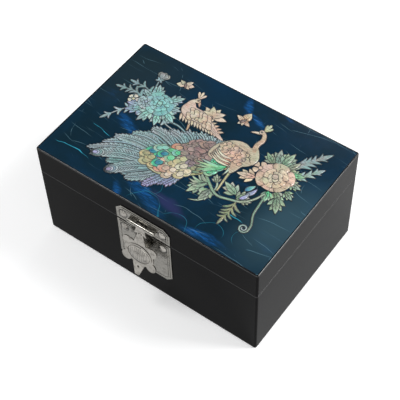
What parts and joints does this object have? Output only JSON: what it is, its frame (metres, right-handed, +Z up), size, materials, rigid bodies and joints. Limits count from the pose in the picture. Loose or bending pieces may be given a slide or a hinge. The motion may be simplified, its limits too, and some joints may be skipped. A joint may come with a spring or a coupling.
{
  "type": "jewellery box",
  "caption": "Lacquered jewellery box with a hinged lid, shell-inlaid blue top, nickel hasp clasp, inner mirror and lift-out tray.",
  "frame": {"origin": "centre of the underside, on the felt that the box stands on", "axes": "+X along the length to the right seen from the front, +Y to the back, +Z up"},
  "size_m": [0.24, 0.183, 0.119],
  "materials": {
    "black_lacquer": "black gloss lacquer on wood board",
    "blue_lacquer": "blue fibre paper under clear gloss lacquer",
    "mother_of_pearl": "tinted mother-of-pearl, engraved and polished",
    "suede": "wine-red suede cloth on card",
    "ring_velvet": "wine-red velvet over foam",
    "stained_wood": "dark stained wood, satin",
    "mirror_glass": "silvered glass",
    "felt": "black felt",
    "nickel": "polished nickel plate on pressed metal",
    "plated_steel": "nickel-plated steel",
    "spring_steel": "blued spring steel"
  },
  "bodies": {
    "base": {"base_board_back": "black_lacquer", "base_board_front": "black_lacquer", "base_board_left": "black_lacquer", "base_board_right": "black_lacquer", "bottom_board": "black_lacquer", "floor_lining": "suede", "hinge_leaf_base_left": "plated_steel", "hinge_leaf_base_right": "plated_steel", "hinge_pins": "plated_steel", "hinge_screws_base": "plated_steel", "keeper_spring": "spring_steel", "lower_nails": "nickel", "lower_plate": "nickel", "tray_rest_left": "stained_wood", "tray_rest_right": "stained_wood", "underside_felt": "felt", "wall_lining_back": "suede", "wall_lining_front": "suede", "wall_lining_left": "suede", "wall_lining_right": "suede"},
    "lid": {"blue_lacquer_sheet": "blue_lacquer", "hasp_pin": "plated_steel", "hinge_leaf_lid_left": "plated_steel", "hinge_leaf_lid_right": "plated_steel", "hinge_screws_lid": "plated_steel", "inlay_branch": "mother_of_pearl", "inlay_butterflies": "mother_of_pearl", "inlay_foliage_left": "mother_of_pearl", "inlay_foliage_right": "mother_of_pearl", "inlay_maple_leaf": "mother_of_pearl", "inlay_peacock": "mother_of_pearl", "inlay_peahen": "mother_of_pearl", "inlay_peony_left": "mother_of_pearl", "inlay_peony_right": "mother_of_pearl", "inlay_train": "mother_of_pearl", "inlay_train_covers": "mother_of_pearl", "lid_board_back": "black_lacquer", "lid_board_front": "black_lacquer", "lid_board_left": "black_lacquer", "lid_board_right": "black_lacquer", "lid_lining": "suede", "lid_mirror": "mirror_glass", "top_panel": "black_lacquer", "upper_nails": "nickel", "upper_plate": "nickel"},
    "hasp": {"hasp_plate": "nickel", "catch_tongue": "nickel"},
    "tray": {"ring_roll_1": "ring_velvet", "ring_roll_2": "ring_velvet", "ring_roll_3": "ring_velvet", "ring_roll_4": "ring_velvet", "ring_roll_5": "ring_velvet", "tray_cross_dividers": "stained_wood", "tray_floor": "stained_wood", "tray_long_divider": "stained_wood", "tray_suede": "suede", "tray_wall_back": "stained_wood", "tray_wall_front": "stained_wood", "tray_wall_left": "stained_wood", "tray_wall_right": "stained_wood"}
  },
  "joints": [
    {"name": "lid_hinge", "type": "hinge", "parent": "base", "child": "lid", "pos_m": [0, 0.0825, 0.0863], "axis": [-1, 0, 0], "range_deg": [0, 100]},
    {"name": "hasp_hinge", "type": "hinge", "parent": "lid", "child": "hasp", "pos_m": [0, -0.0835, 0.0956], "axis": [-1, 0, 0], "range_deg": [-9, 160]},
    {"name": "tray_lift", "type": "slide", "parent": "base", "child": "tray", "axis": [0, 0, 1], "range_m": [0, 0.022]}
  ]
}
